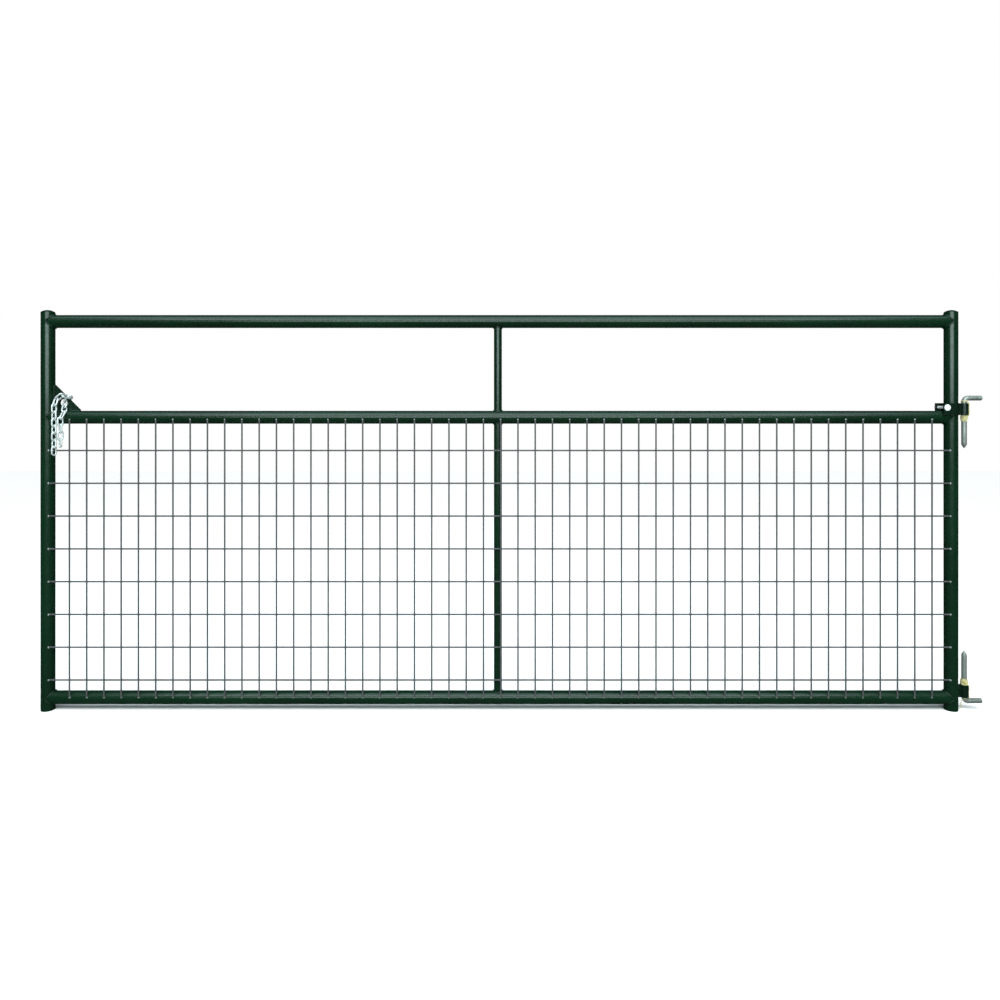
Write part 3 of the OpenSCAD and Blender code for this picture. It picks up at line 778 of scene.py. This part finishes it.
def clampBolt():
    low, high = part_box("clamp_bolt")
    strapLow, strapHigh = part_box("upper_hinge_strap")
    nutLow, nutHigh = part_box("clamp_nut")
    centre = middleOf("clamp_bolt")
    headRadius = halfOf("clamp_bolt").x
    shank, neck = clamp["shank"], clamp["neck"]
    rows = []

    def put(y, reach):
        rows.append((Vector((centre.x, y, centre.z)), reach))

    headHeight = strapLow.y - low.y
    for k in range(clamp["headSteps"] + 1):
        share = k / clamp["headSteps"]
        reach = headRadius * math.sin(math.pi / 2 * max(share, 0.02)) ** 0.9
        put(low.y + (headHeight - clamp["headRim"]) * (1 - math.cos(math.pi / 2 * share)),
            lambda turn, r=reach: r)
    put(strapLow.y - clamp["headEdge"], lambda turn: headRadius)
    put(strapLow.y - clamp["seatGap"], lambda turn: headRadius * clamp["seatShare"])

    def square(turn):
        return min(neck / max(abs(math.cos(turn)), abs(math.sin(turn))), neck * clamp["neckRound"])

    put(strapLow.y, square)
    put(strapLow.y + clamp["neckLength"], square)
    put(strapLow.y + clamp["neckLength"] + clamp["neckBlend"], lambda turn: shank)
    threadFrom = nutLow.y - clamp["threadLead"]
    put(threadFrom, lambda turn: shank)
    y = threadFrom
    while y < high.y - 0.0001:
        y = min(y + clamp["pitch"] / clamp["threadSteps"], high.y)
        fade = min(1.0, (y - threadFrom) / clamp["threadFade"])
        end = min(1.0, clamp["endShare"] + (1 - clamp["endShare"]) * (high.y - y) / clamp["endLength"])
        put(y, lambda turn, y=y, fade=fade, end=end:
            shank * end - clamp["threadDepth"] * fade * threadWave(y, turn, clamp["pitch"]))
    shell = bmesh.new()
    sweepTube(shell, [row[0] for row in rows], lambda i, turn: rows[i][1](turn), clamp["sides"], zWay)
    bolt = finishPiece("clampBolt", shell, boltZinc, "gate")
    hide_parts("clamp_bolt")

    corner = halfOf("clamp_nut").x
    flat = halfOf("clamp_nut").z
    wide, narrow = max(corner, flat), min(corner, flat)
    shell = bmesh.new()
    rows = []
    for y, slack in ((nutLow.y, 0.0), (nutLow.y + clamp["nutChamfer"] * 0.5, 0.5),
                     (nutLow.y + clamp["nutChamfer"], 1.0), (nutHigh.y - clamp["nutChamfer"], 1.0),
                     (nutHigh.y - clamp["nutChamfer"] * 0.5, 0.5), (nutHigh.y, 0.0)):
        put(y, lambda turn, slack=slack: min(
            narrow / math.cos((turn + (0 if corner < flat else math.pi / 6)) % (math.pi / 3) - math.pi / 6),
            narrow * 0.97 + (wide - narrow * 0.97) * slack))
    sweepTube(shell, [row[0] for row in rows], lambda i, turn: rows[i][1](turn), clamp["sides"], zWay)
    nut = finishPiece("clampNut", shell, boltZinc, "gate", smooth=False)
    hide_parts("clamp_nut")


clampBolt()
print("clamp bolt and nut made")


chainWeld = {
    "length": 0.0062,
    "swell": 0.00032,        # how far the weld stands proud of the wire
    "sink": 0.00015,         # how far its ends lie inside the wire
    "lumps": 0.2,            # share by which it is uneven round the wire
    "steps": 16,
    "sides": 20,
}


def linkAxes(name):
    # centre, length way, width way and the wire's radius, from the link's own mesh
    points = np.array([v.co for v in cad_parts[name].data.vertices])
    centre = (points.min(0) + points.max(0)) / 2
    spread = points - centre
    ways = np.linalg.eigh(spread.T @ spread)[1]
    width = spread @ ways[:, 1]
    wire = np.abs(spread @ ways[:, 0]).max()
    return (Vector(centre), Vector(ways[:, 2]), Vector(ways[:, 1]), float(np.abs(width).max()), float(wire))


def chainWelds():
    for k, name in enumerate(chainLinks):
        centre, lengthWay, widthWay, halfWidth, wire = linkAxes(name)
        side = 1 if k % 2 else -1
        middle = centre + widthWay * side * (halfWidth - wire)
        half = chainWeld["length"] / 2
        steps = chainWeld["steps"]
        path = [middle + lengthWay * half * (2 * i / steps - 1) for i in range(steps + 1)]

        def reach(i, turn, k=k):
            share = 2 * i / chainWeld["steps"] - 1
            bulge = math.cos(math.pi / 2 * share) ** 1.5
            ridge = 0.5 + 0.5 * math.cos(share * 9)
            lump = 1 + chainWeld["lumps"] * math.sin(3 * turn + k)
            rise = (chainWeld["swell"] + chainWeld["sink"]) * bulge * lump * (0.75 + 0.25 * ridge)
            return wire - chainWeld["sink"] + rise

        shell = bmesh.new()
        sweepTube(shell, path, reach, chainWeld["sides"], widthWay)
        finishPiece(name + "Weld", shell, chainZinc, name)


chainWelds()
print("chain welds made")


studio = {
    "floorTone": (0.9, 0.9, 0.9, 1),
    "floorShade": (0.87, 0.87, 0.87, 1),
    "floorSize": 16.0,
    "skyToCamera": 1.0,
    "skyToGate": 0.03,
    "sunStrength": 4.2,
    "sunHeight": 58.0,       # degrees above the floor, from the front
    "sunSpread": 56.0,       # angular size, which makes the shadows soft
    "sunTint": (0.97, 1.0, 1.0),
    "lens": 27.0,
    "eye": (-1.4788, -2.39, 0.986),
    "shiftY": -0.1,
}

# name, place, size, what it faces, watts, tint
lamps = [
    ("frontSoftbox", (-1.48, -4.4, 1.5), (4.6, 0.9), (-1.48, 0.0, 1.1), 105, (0.8, 1.0, 0.98)),
    ("highSoftbox", (-1.48, -2.7, 3.1), (5.6, 1.3), (-1.48, 0.0, 0.9), 110, (0.85, 1.0, 0.95)),
    ("topSoftbox", (-1.48, -0.9, 3.4), (5.6, 1.2), (-1.48, 0.0, 0.9), 60, (0.62, 0.8, 1.0)),
]


def makeFloor():
    shell = bmesh.new()
    half = studio["floorSize"] / 2
    steps = 8
    centreX = (postPlaces[0] + postPlaces[1]) / 2
    grid = [[shell.verts.new((centreX + half * (2 * i / steps - 1), half * (2 * k / steps - 1), 0))
             for i in range(steps + 1)] for k in range(steps + 1)]
    for rowA, rowB in zip(grid, grid[1:]):
        for i in range(steps):
            shell.faces.new((rowA[i], rowA[i + 1], rowB[i + 1], rowB[i]))
    mesh = bpy.data.meshes.new("studioFloor")
    shell.to_mesh(mesh)
    shell.free()
    material = bpy.data.materials.new("paleFloor")
    material.use_nodes = True
    tree = material.node_tree
    principled = tree.nodes["Principled BSDF"]
    place = addNode(tree, "ShaderNodeTexCoord").outputs["Object"]
    grain = noiseMask(tree, place, 3.0, 0.3, 0.7)
    tree.links.new(mixColours(tree, mathNode(tree, "MULTIPLY", grain, 0.25), studio["floorTone"],
                              studio["floorShade"]), principled.inputs["Base Color"])
    principled.inputs["Roughness"].default_value = 0.85
    mesh.materials.append(material)
    floor = bpy.data.objects.new("studioFloor", mesh)
    bpy.context.scene.collection.objects.link(floor)
    floor.visible_glossy = False


def makeLamps():
    for name, place, size, target, watts, tint in lamps:
        light = bpy.data.lights.new(name, "AREA")
        light.shape = "RECTANGLE"
        light.size, light.size_y = size
        light.energy = watts
        light.color = tint
        lamp = bpy.data.objects.new(name, light)
        lamp.location = place
        lamp.rotation_euler = (Vector(target) - Vector(place)).to_track_quat("-Z", "Y").to_euler()
        bpy.context.scene.collection.objects.link(lamp)


def makeSun():
    light = bpy.data.lights.new("softSun", "SUN")
    light.energy = studio["sunStrength"]
    light.color = studio["sunTint"]
    light.angle = math.radians(studio["sunSpread"])
    lamp = bpy.data.objects.new("softSun", light)
    lamp.rotation_euler = (math.radians(90 - studio["sunHeight"]), 0, 0)
    lamp.visible_glossy = False
    bpy.context.scene.collection.objects.link(lamp)


def makeSky():
    world = bpy.data.worlds.new("studioSky")
    world.use_nodes = True
    tree = world.node_tree
    background = tree.nodes["Background"]
    seen = addNode(tree, "ShaderNodeLightPath").outputs["Is Camera Ray"]
    strength = addNode(tree, "ShaderNodeMapRange", None, {
        "Value": seen, "To Min": studio["skyToGate"], "To Max": studio["skyToCamera"]})
    tree.links.new(strength.outputs[0], background.inputs["Strength"])
    background.inputs["Color"].default_value = (1, 1, 1, 1)
    bpy.context.scene.world = world


def makeCamera():
    lens = bpy.data.cameras.new("gateCamera")
    lens.lens = studio["lens"]
    lens.sensor_width = 36.0
    lens.shift_y = studio["shiftY"]
    lens.clip_start, lens.clip_end = 0.05, 60.0
    camera = bpy.data.objects.new("gateCamera", lens)
    camera.location = studio["eye"]
    camera.rotation_euler = (math.radians(90), 0, 0)
    bpy.context.scene.collection.objects.link(camera)
    bpy.context.scene.camera = camera


makeFloor()
makeLamps()
makeSun()
makeSky()
makeCamera()
bpy.context.scene.view_settings.view_transform = "Standard"
print("studio made")
